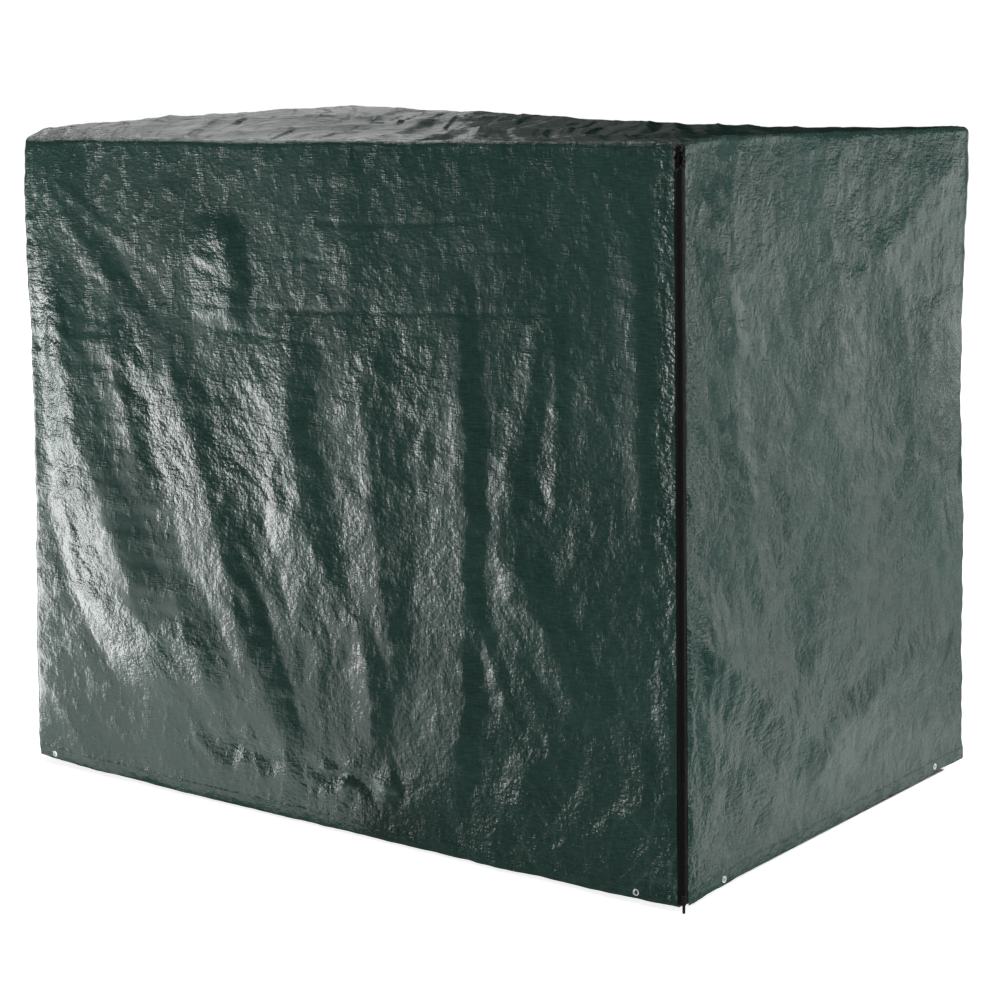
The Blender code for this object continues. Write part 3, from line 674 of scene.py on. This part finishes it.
def tape_look():
    """Matt black twill, glossier where it is bunched up."""
    nodes = Nodes("zip tape")
    twill = nodes.add(
        "ShaderNodeTexWave",
        {"Vector": cloth_coordinates(nodes, (1, 1, 1)), "Scale": 320.0, "Distortion": 0.6},
        wave_type="BANDS", bands_direction="DIAGONAL",
    ).outputs["Fac"]
    nodes.link(nodes.mix(twill, TAPE_DARK, TAPE_LIGHT), "Base Color")
    bunched = nodes.add("ShaderNodeAttribute", attribute_name="crinkle").outputs["Fac"]
    nodes.link(between(nodes, bunched, 0.0, 1.0, 0.62, 0.22), "Roughness")
    node_input(nodes.shader, "Specular IOR Level", 0.3)
    bump = nodes.add("ShaderNodeBump", {"Height": twill, "Strength": 0.5, "Distance": 0.0004})
    nodes.link(bump.outputs["Normal"], "Normal")
    return nodes.material


def plain_look(name, color, roughness, metallic=0.0, grain=120.0):
    """A moulded or pressed finish with a slightly uneven surface."""
    nodes = Nodes(name)
    place = nodes.add("ShaderNodeTexCoord").outputs["Object"]
    sockets = {"Vector": place, "Scale": grain, "Detail": 3.0}
    speckle = nodes.add("ShaderNodeTexNoise", sockets).outputs["Fac"]
    nodes.link(nodes.mix(speckle, *shades(color, 0.8, 1.15)), "Base Color")
    nodes.link(between(nodes, speckle, 0.0, 1.0, roughness * 0.8, roughness * 1.25), "Roughness")
    node_input(nodes.shader, "Metallic", metallic)
    bump = nodes.add("ShaderNodeBump", {"Height": speckle, "Strength": 0.3, "Distance": 0.0002})
    nodes.link(bump.outputs["Normal"], "Normal")
    return nodes.material


def box_stations():
    """Grid lines shared by neighbouring sheets, so that they meet without gaps at the edges."""
    x = edge_spaced(-HALF_LENGTH, HALF_LENGTH, GRID_STEP, True, True)
    y = edge_spaced(-HALF_WIDTH, HALF_WIDTH, GRID_STEP, True, True)
    zip_x, zip_y = HALF_LENGTH - EDGE_RADIUS, EDGE_RADIUS - HALF_WIDTH
    fine_x = spaced(zip_x - ZIP_FINE, zip_x, ZIP_STEP)
    fine_y = spaced(zip_y, zip_y + ZIP_FINE, ZIP_STEP)
    x = np.concatenate((x[x < zip_x - ZIP_FINE - 0.002], fine_x, x[x > zip_x + 0.0001]))
    y = np.concatenate((y[y < zip_y - 0.0001], fine_y, y[y > zip_y + ZIP_FINE + 0.002]))
    z = edge_spaced(HEM_HEIGHT, WALL_HEIGHT, GRID_STEP, False, True)
    return x, y, z


X_STATIONS, Y_STATIONS, Z_STATIONS = box_stations()


def wall_stations(wall_name):
    if wall_name == "front":
        return X_STATIONS[X_STATIONS < HALF_LENGTH - EDGE_RADIUS + 0.0001]
    if wall_name == "right":
        return Y_STATIONS[Y_STATIONS > EDGE_RADIUS - HALF_WIDTH - 0.0001]
    return -X_STATIONS[::-1] if wall_name == "back" else -Y_STATIONS[::-1]


def crease_values(strength, creases):
    return {"crinkle": strength, "crease": strength * creases ** 2}


def make_wall(wall_name, look):
    place, height = np.meshgrid(wall_stations(wall_name), Z_STATIONS, indexing="ij")
    points, strength, creases = wall_points(wall_name, place, height)
    values = crease_values(strength, creases)
    made = grid_mesh(wall_name + "_sheet", points, np.stack((place, height), axis=-1), values)
    return dress(made, look, [wall_name + "_panel"])


def make_hem(wall_name, look):
    """The turned-up hem, a little proud of the wall, open at its eyelets."""
    columns = wall_stations(wall_name)
    rows = np.linspace(0.0, HEM_HEIGHT, HEM_ROWS)
    for eyelet in EYELETS:
        if eyelet.wall == wall_name:
            near = np.abs(columns - eyelet.place) < 0.012
            extra = np.linspace(eyelet.place - 0.011, eyelet.place + 0.011, 13)
            columns = np.sort(np.concatenate((columns[~near], extra)))
    place, height = np.meshgrid(columns, rows, indexing="ij")
    points, strength, creases = wall_points(wall_name, place, height)
    stitched = STITCH_PROUD * bell(height - STITCH_HEIGHT, 0.002)
    lip = HEM_PROUD * smooth((HEM_HEIGHT - height) / 0.003) + stitched
    points = points + lip[..., None] * WALLS[wall_name].out
    keep = np.ones((len(columns) - 1, len(rows) - 1), dtype=bool)
    middle_place = (place[:-1, :-1] + place[1:, 1:]) / 2
    middle_height = (height[:-1, :-1] + height[1:, 1:]) / 2
    for eyelet in EYELETS:
        if eyelet.wall == wall_name:
            keep &= np.hypot(middle_place - eyelet.place, middle_height - EYELET_HEIGHT) > HEM_HOLE
    values = crease_values(strength, creases)
    made = grid_mesh(wall_name + "_hem", points, np.stack((place, height), axis=-1), values, keep)
    return dress(made, look, ["hem_" + wall_name])


def top_relief(x, y):
    """Pleats of the slack top sheet, which run from the front edge back to the left."""
    to_edge = np.minimum(HALF_LENGTH - np.abs(x), HALF_WIDTH - np.abs(y))
    fan = x + (0.75 + 0.15 * np.sin(2.6 * x)) * (y + HALF_WIDTH) + 0.02 * np.sin(9 * y + 3 * x)
    broad = facets(fan, y, 0.150, 0.900, 0.10, 701, 8.0)
    middle = facets(fan, y, 0.062, 0.330, 0.07, 702, 20.0)
    small = facets(x, y, 0.030, 0.042, 0.05, 703, 20.0)
    creases = crackle(fan, y, 0.110, 0.480, 704, 0.06)
    strength = 0.30 + 0.9 * value_noise(x / 0.25, y / 0.20, 705)
    near = smooth((to_edge - 0.001) / 0.030)
    return near * (broad + middle + strength * small + 0.0016 * creases), strength, creases


def make_top(look):
    x, y = np.meshgrid(X_STATIONS, Y_STATIONS, indexing="ij")
    points = cover_points(np.stack((x, y, np.full_like(x, WALL_HEIGHT)), axis=-1), 0.0)
    out, strength, creases = top_relief(x, y)
    points[..., 2] += top_swell(x, y) + out
    values = {"crinkle": np.clip(strength, 0, 1.4), "crease": strength * creases ** 2}
    made = grid_mesh("top_sheet", points, np.stack((x, y), axis=-1), values)
    return dress(made, look, ["top_panel"])


def corner_points(turn, height, depth):
    """Points of the zip's corner: turn is below 0 on the front wall and above 0 on the right."""
    front = wall_points("front", HALF_LENGTH + np.minimum(turn, 0), height, depth, relief=False)
    right = wall_points("right", np.maximum(turn, 0) - HALF_WIDTH, height, depth, relief=False)
    return np.where((turn < 0)[..., None], front, right)


def make_tapes(look):
    """The two zip tapes meet under the teeth, slip under the walls, and bunch up at the top end."""
    plain_rows = spaced(ZIP_FOOT, BUNCH_FOOT, 0.012)[:-1]
    bunched_rows = edge_spaced(BUNCH_FOOT, WALL_HEIGHT, 0.003, False, True)
    rows = np.concatenate((plain_rows, bunched_rows))
    tapes = []
    for name, first, last in (("front", -TAPE_WIDTH, 0.0), ("right", 0.0, TAPE_WIDTH)):
        turn, height = np.meshgrid(np.linspace(first, last, 13), rows, indexing="ij")
        under_walls = 0.0012 * smooth((np.abs(turn) - 0.013) / 0.004)
        under_teeth = 0.0010 * smooth(1 - np.abs(turn) / 0.006)
        sunk = TAPE_SUNK + under_walls + under_teeth
        points = corner_points(turn, height, 0.0)
        bunch = smooth((height - 1.558) / 0.022) * smooth((WALL_HEIGHT - height - 0.001) / 0.010)
        bunch = bunch * smooth((TAPE_WIDTH - np.abs(turn)) / 0.006)
        crumple = facets(turn, height, 0.007, 0.012, 1.6, 901, 30.0)
        out = bunch * (0.0042 + crumple) - sunk * (1 - bunch)
        points = points + out[..., None] * np.array((1, -1, 0)) * math.sqrt(0.5)
        values = {"crinkle": bunch, "crease": bunch}
        made = grid_mesh("zip_tape_" + name + "_cloth", points, np.stack((turn, height), axis=-1), values)
        tapes.append(dress(made, look, ["zip_tape_" + name]))
    return tapes


def make_teeth(look):
    """Two rows of moulded teeth that mesh along the corner."""
    count = int((WALL_HEIGHT - EDGE_RADIUS - ZIP_FOOT) / TOOTH_PITCH)
    heights = ZIP_FOOT + TOOTH_PITCH * (np.arange(count) + 0.5)
    built = bmesh.new()
    foot = corner_points(np.zeros_like(heights), heights, 0.0)
    above = corner_points(np.zeros_like(heights), heights + 0.001, 0.0)
    side = Vector((1, 1, 0)).normalized()
    for i in range(count):
        up = Vector(above[i] - foot[i]).normalized()
        out = side.cross(up).normalized() * -1
        out = out if out.x > 0 else -out
        hand = 1 if i % 2 else -1
        center = Vector(foot[i]) + side * hand * TOOTH_STAGGER - out * 0.0006
        seat = Matrix.Translation(center) @ Matrix((side, out, up)).transposed().to_4x4()
        sizes = Matrix.Diagonal((*TOOTH_SIZE, 1))
        bmesh.ops.create_cube(built, size=1.0, matrix=seat @ sizes)
    mesh = bpy.data.meshes.new("zip_teeth")
    bmesh.ops.recalc_face_normals(built, faces=built.faces)
    built.to_mesh(mesh)
    built.free()
    made = bpy.data.objects.new("zip_teeth", mesh)
    bpy.context.scene.collection.objects.link(made)
    dress(made, look, ["zip_chain"])


def stitch_line(name, points, normals, look, length=0.0042, gap=0.0022, width=0.0007):
    """Short raised stitches along a line of points."""
    steps = np.linalg.norm(np.diff(points, axis=0), axis=1)
    along = np.concatenate(([0.0], np.cumsum(steps)))
    pitch = length + gap
    count = int(along[-1] / pitch)
    verts, faces = [], []
    for i in range(count):
        start, end = i * pitch + gap / 2, i * pitch + gap / 2 + length
        ends = []
        for distance in (start, end):
            ends.append(np.array([np.interp(distance, along, points[:, k]) for k in range(3)]))
        middle = np.array([np.interp((start + end) / 2, along, normals[:, k]) for k in range(3)])
        run = (ends[1] - ends[0]) / np.linalg.norm(ends[1] - ends[0])
        across = np.cross(run, middle)
        across /= np.linalg.norm(across)
        base = len(verts)
        sections = ((0.0, -0.1, 0.5), (0.2, 0.8, 1.0), (0.8, 0.8, 1.0), (1.0, -0.1, 0.5))
        for share, rise, spread in sections:
            center = ends[0] + (ends[1] - ends[0]) * share
            low = middle * -0.4 * width
            verts.append(center + middle * rise * width)
            verts.append(center + across * spread * width + low)
            verts.append(center - across * spread * width + low)
        for k in range(3):
            a = base + 3 * k
            faces += [(a, a + 1, a + 4, a + 3), (a + 1, a + 2, a + 5, a + 4), (a + 2, a, a + 3, a + 5)]
        faces += [(base, base + 2, base + 1), (base + 9, base + 10, base + 11)]
    mesh = bpy.data.meshes.new(name)
    mesh.from_pydata([tuple(v) for v in verts], [], faces)
    mesh.shade_smooth()
    made = bpy.data.objects.new(name, mesh)
    bpy.context.scene.collection.objects.link(made)
    dress(made, look)


def make_stitching(look):
    for wall_name, wall in WALLS.items():
        columns = wall_stations(wall_name)
        place = spaced(columns[0] + 0.004, columns[-1] - 0.004, 0.006)
        height = np.full_like(place, STITCH_HEIGHT)
        points, _, _ = wall_points(wall_name, place, height)
        points = points + wall.out * (HEM_PROUD + STITCH_PROUD)
        normals = np.tile(wall.out.astype(float), (len(place), 1))
        stitch_line(wall_name + "_hem_stitches", points, normals, look)


def eyelet_seat(eyelet):
    middle = (HEM_DEPTH - HEM_PROUD) / 2
    reach = 0.008
    place = np.array((eyelet.place, eyelet.place + reach, eyelet.place))
    height = np.array((EYELET_HEIGHT, EYELET_HEIGHT, EYELET_HEIGHT + reach))
    points = wall_points(eyelet.wall, place, height, middle, relief=False)
    center, right, up = (Vector(p) for p in points)
    out = (right - center).cross(up - center).normalized()
    side = (right - center).normalized()
    return Matrix.Translation(center) @ Matrix((side, out.cross(side), out)).transposed().to_4x4()


def turned(name, profile, segments):
    """A closed ring turned from a closed profile of (radius, height)."""
    built = bmesh.new()
    rings = []
    for i in range(segments):
        angle = 2 * math.pi * i / segments
        turn_x, turn_y = math.cos(angle), math.sin(angle)
        rings.append([built.verts.new((r * turn_x, r * turn_y, z)) for r, z in profile])
    for this, following in zip(rings, rings[1:] + rings[:1]):
        for j in range(len(profile)):
            k = (j + 1) % len(profile)
            built.faces.new((this[j], this[k], following[k], following[j]))
    bmesh.ops.recalc_face_normals(built, faces=built.faces)
    mesh = bpy.data.meshes.new(name)
    built.to_mesh(mesh)
    built.free()
    mesh.shade_smooth()
    return mesh


def make_eyelets(look):
    seat = (HEM_DEPTH + HEM_PROUD) / 2 + 0.0003
    rim = EYELET_FLANGE
    bore = EYELET_BORE
    turns = [math.radians(a) for a in range(0, 181, 30)]
    middle, reach = (rim + bore) / 2, (rim - bore) / 2
    front = [(middle - reach * math.cos(t), seat + 0.0010 * math.sin(t)) for t in turns]
    profile = front + [(radius, -height) for radius, height in reversed(front)]
    mesh = turned("eyelet_ring", profile, RING_SEGMENTS)
    for eyelet in EYELETS:
        ring = bpy.data.objects.new(eyelet.name + "_ring", mesh.copy())
        bpy.context.scene.collection.objects.link(ring)
        ring.matrix_world = eyelet_seat(eyelet)
        dress(ring, look, [eyelet.name])


def make_camera():
    yaw, pitch, roll = (math.radians(a) for a in (CAMERA_YAW, CAMERA_PITCH, CAMERA_ROLL))
    ahead = Vector((math.sin(yaw) * math.cos(pitch), math.cos(yaw) * math.cos(pitch), -math.sin(pitch)))
    level = Vector((math.cos(yaw), -math.sin(yaw), 0))
    above = level.cross(ahead)
    right = level * math.cos(roll) + above * math.sin(roll)
    up = -level * math.sin(roll) + above * math.cos(roll)
    data = bpy.data.cameras.new("camera")
    data.sensor_width = 36.0
    data.lens = 36.0 * CAMERA_FOCAL
    data.clip_end = 200
    camera = bpy.data.objects.new("camera", data)
    bpy.context.scene.collection.objects.link(camera)
    turn = Matrix((right, up, -ahead)).transposed().to_4x4()
    camera.matrix_world = Matrix.Translation(CAMERA_PLACE) @ turn
    bpy.context.scene.camera = camera


def stage_plane(name, corners, look):
    mesh = bpy.data.meshes.new(name)
    mesh.from_pydata(corners, [], [tuple(range(len(corners)))])
    made = bpy.data.objects.new(name, mesh)
    bpy.context.scene.collection.objects.link(made)
    mesh.materials.append(look)
    return made


def standing(one, two, low, high):
    """The four corners of an upright card over a line on the floor."""
    return [(*one, low), (*one, high), (*two, high), (*two, low)]


def lying(height, *corners):
    return [(x, y, height) for x, y in corners]


def area_light(name, place, target, size, power):
    data = bpy.data.lights.new(name, "AREA")
    data.shape = "RECTANGLE"
    data.size = size
    data.size_y = size
    data.energy = power
    made = bpy.data.objects.new(name, data)
    bpy.context.scene.collection.objects.link(made)
    made.location = place
    made.rotation_euler = (Vector(target) - Vector(place)).to_track_quat("-Z", "Y").to_euler()
    return made


def emission_look(name, strength):
    material = bpy.data.materials.new(name)
    material.use_nodes = True
    tree = material.node_tree
    tree.nodes.clear()
    glow = tree.nodes.new("ShaderNodeEmission")
    glow.inputs["Color"].default_value = (*WHITE, 1)
    glow.inputs["Strength"].default_value = strength
    out = tree.nodes.new("ShaderNodeOutputMaterial")
    tree.links.new(glow.outputs[0], out.inputs[0])
    return material


def make_stage():
    """A glowing pale floor and a white surround, which the cover's gloss doesn't see."""
    pale = bpy.data.materials.new("pale floor")
    pale.use_nodes = True
    floor = pale.node_tree.nodes["Principled BSDF"]
    node_input(floor, "Base Color", (0.90, 0.90, 0.90, 1))
    node_input(floor, "Roughness", 0.9)
    node_input(floor, "Specular IOR Level", 0.1)
    node_input(floor, "Emission Color", (*WHITE, 1))
    node_input(floor, "Emission Strength", FLOOR_GLOW)
    reach = FLOOR_REACH
    inner_x, inner_y = HALF_LENGTH - 0.01, HALF_WIDTH - 0.01
    for name, west, south, east, north in (
        ("floor_front", -reach, -reach, reach, -inner_y),
        ("floor_back", -reach, inner_y, reach, reach),
        ("floor_left", -reach, -inner_y, -inner_x, inner_y),
        ("floor_right", inner_x, -inner_y, reach, inner_y),
    ):
        corners = lying(FLOOR_HEIGHT, (west, south), (east, south), (east, north), (west, north))
        stage_plane(name, corners, pale).visible_glossy = False
    unlit = plain_look("shaded floor", (0.80, 0.80, 0.80), 0.9)
    inside = [(-inner_x, -inner_y), (inner_x, -inner_y), (inner_x, inner_y), (-inner_x, inner_y)]
    stage_plane("floor_inside", lying(FLOOR_HEIGHT, *inside), unlit)
    white = emission_look("white surround", 1.02)
    corners = [(reach * math.cos(a), reach * math.sin(a)) for a in np.linspace(0, 2 * math.pi, 25)]
    for i, (one, two) in enumerate(zip(corners, corners[1:])):
        wall = stage_plane("surround_%d" % i, [(*one, -1), (*two, -1), (*two, 14), (*one, 14)], white)
        wall.visible_glossy = False
        wall.visible_diffuse = False
        wall.visible_shadow = False
    world = bpy.data.worlds.new("studio")
    world.use_nodes = True
    background = world.node_tree.nodes["Background"]
    node_input(background, "Color", WORLD_GREY)
    node_input(background, "Strength", WORLD_GLOW)
    bpy.context.scene.world = world


def light_card(name, corners, strength):
    """A softly lit card that only the cover's gloss and cloth see."""
    card = stage_plane(name, corners, emission_look(name, strength))
    card.visible_camera = False
    card.visible_shadow = False
    return card


LIGHT_CARDS = [
    ("grey_floor_card", lying(0.004, (0.09, -0.69), (-3.45, -4.73), (-5.7, -4.73), (-2.4, -0.69)), 1.55),
    ("grey_wall_card", standing((-3.45, -4.73), (-5.7, -4.73), 0.0, 0.75), 1.55),
    ("dim_wall_card", [
        (-3.45, -4.74, 0.75), (-3.45, -4.74, 1.3), (-6.2, -4.74, 1.5), (-6.2, -4.74, 0.75),
    ], 0.7),
    ("right_dim_card", standing((-2.95, -4.735), (-3.45, -4.735), 0.0, 0.75), 0.38),
    ("dim_floor_card", lying(0.0035, (0.35, -0.69), (-2.95, -4.725), (-3.45, -4.725), (0.05, -0.69)), 0.22),
    ("bright_floor_card", lying(0.006, (-1.35, -0.98), (-5.0, -3.7), (-5.9, -1.4), (-1.45, -0.74)), 9.0),
    ("bright_wall_card", standing((-5.0, -3.7), (-5.9, -1.4), 0.0, 0.80), 10.0),
    ("right_side_card", standing((5.2, 0.2), (5.2, 2.6), 0.0, 1.2), 3.0),
    ("right_near_card", lying(0.004, (1.05, -0.62), (1.55, 0.22), (1.55, 2.4), (1.05, 0.90)), 1.10),
    ("right_floor_card", lying(0.004, (1.55, 0.22), (5.6, 6.1), (2.6, 8.5), (1.55, 2.4)), 0.94),
    ("right_wall_card", standing((5.6, 5.6), (2.6, 8.5), 0.0, 1.5), 1.32),
    ("right_bright_card", standing((2.6, 8.5), (1.5, 8.6), 0.0, 1.6), 1.7),
    ("back_left_card", standing((-9.0, 3.5), (-5.6, 7.2), 0.4, 5.0), 0.75),
]


def make_lights():
    """A soft overhead light, cards for the gloss to mirror, and a black flag behind."""
    sun = bpy.data.lights.new("overhead", "SUN")
    sun.energy = 0.9
    sun.angle = math.radians(70)
    made = bpy.data.objects.new("overhead", sun)
    bpy.context.scene.collection.objects.link(made)
    made.rotation_euler = (math.radians(-8), math.radians(6), 0)
    for name, corners, strength in LIGHT_CARDS:
        light_card(name, corners, strength)
    seam = lying(5.0, (-5.2, -3.2), (-5.2, 3.0), (-2.4, 3.0), (-2.4, -3.2))
    seam_card = light_card("seam_card", seam, 3.0)
    seam_card.visible_diffuse = False
    black = bpy.data.materials.new("black flag")
    black.use_nodes = True
    shader = black.node_tree.nodes["Principled BSDF"]
    node_input(shader, "Base Color", (0, 0, 0, 1))
    node_input(shader, "Specular IOR Level", 0.0)
    corners = [(-4.4, 7.5, 0.3), (-1.4, 9.5, 0.3), (-1.4, 9.5, 6.0), (-4.4, 7.5, 6.0)]
    flag = stage_plane("black_flag", corners, black)
    flag.visible_camera = False
    flag.visible_diffuse = False
    flag.visible_shadow = False
    area_light("right_fill", (5.5, 2.0, 2.8), (1.0, 0, 0.8), 2.0, 90)


make_camera()
make_stage()
make_lights()

green_sheet = sheet_look("green woven sheet", GREEN)
green_thread = plain_look("green thread", THREAD_GREEN, 0.5)
black_tape = tape_look()
black_plastic = plain_look("black plastic", PLASTIC_BLACK, 0.38)
black_metal = plain_look("black lacquer", LACQUER_BLACK, 0.35, 0.6)
bright_metal = plain_look("pressed aluminium", ALUMINIUM, 0.50, 0.25, grain=300.0)

top = make_top(green_sheet)
walls = {name: make_wall(name, green_sheet) for name in WALLS}
hems = {name: make_hem(name, green_sheet) for name in WALLS}
tapes = make_tapes(black_tape)
make_teeth(black_plastic)
make_stitching(green_thread)
make_eyelets(bright_metal)
for node_name in ("zip_slider", "zip_pull"):
    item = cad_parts[node_name]
    item.data.materials.clear()
    item.data.materials.append(black_metal)

bpy.context.scene.view_settings.view_transform = "Standard"
